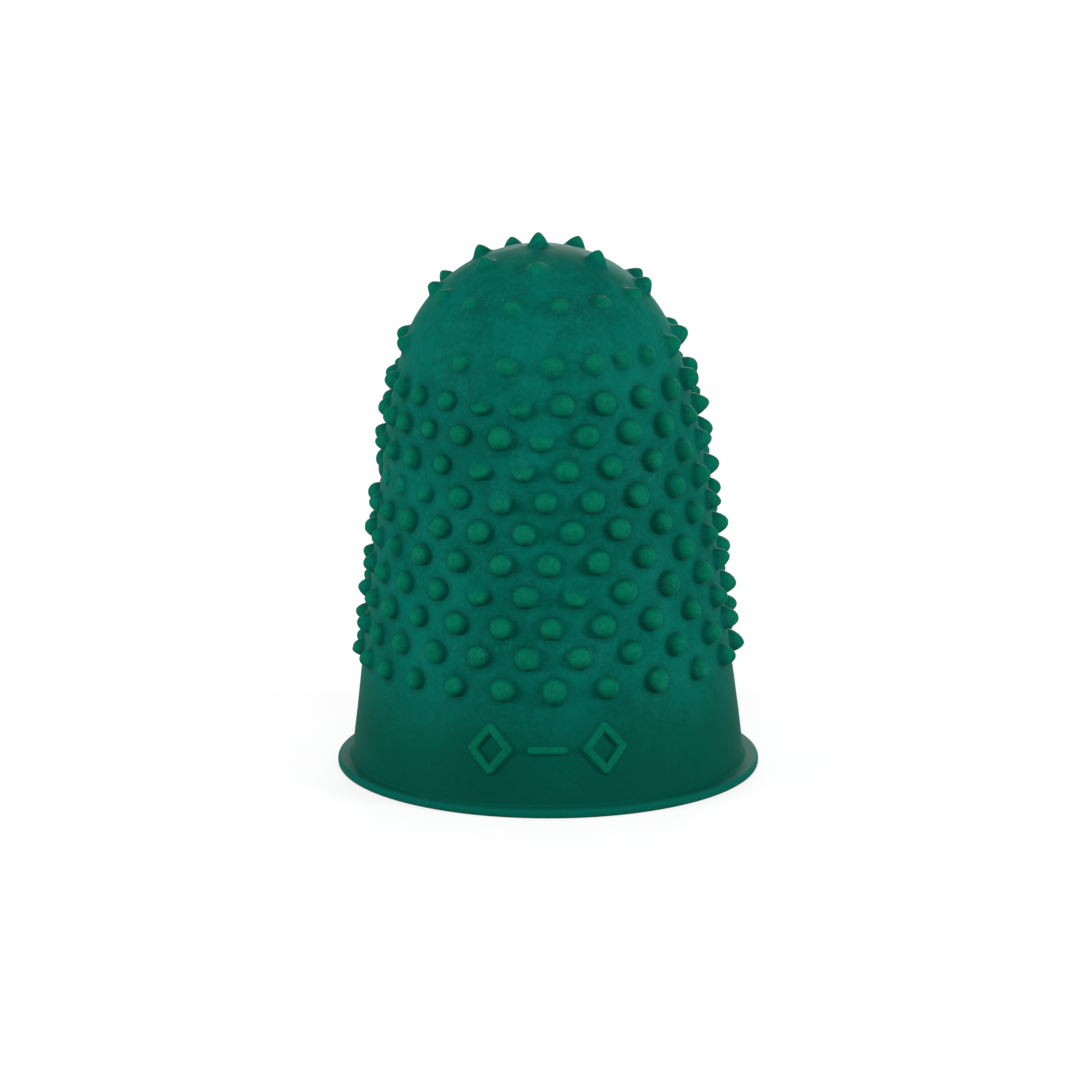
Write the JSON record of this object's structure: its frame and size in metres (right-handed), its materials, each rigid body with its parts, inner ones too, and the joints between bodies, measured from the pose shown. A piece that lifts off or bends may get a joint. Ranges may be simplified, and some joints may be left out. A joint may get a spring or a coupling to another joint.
{
  "type": "rubber finger cone",
  "caption": "Soft moulded rubber fingertip cap with a domed closed end, staggered rows of blunt grip nubs and a turned-out lip round its open mouth.",
  "frame": {"origin": "centre of the mouth's underside, the plane on which the cap stands", "axes": "+Z along the cap's axis to its closed domed end, -Y to the front, +X to the right seen from the front"},
  "size_m": [0.0204, 0.0204, 0.0263],
  "materials": {
    "rubber": "soft matte with a slight sheen"
  },
  "bodies": {
    "root": {"finger_tip": "rubber"}
  },
  "joints": []
}
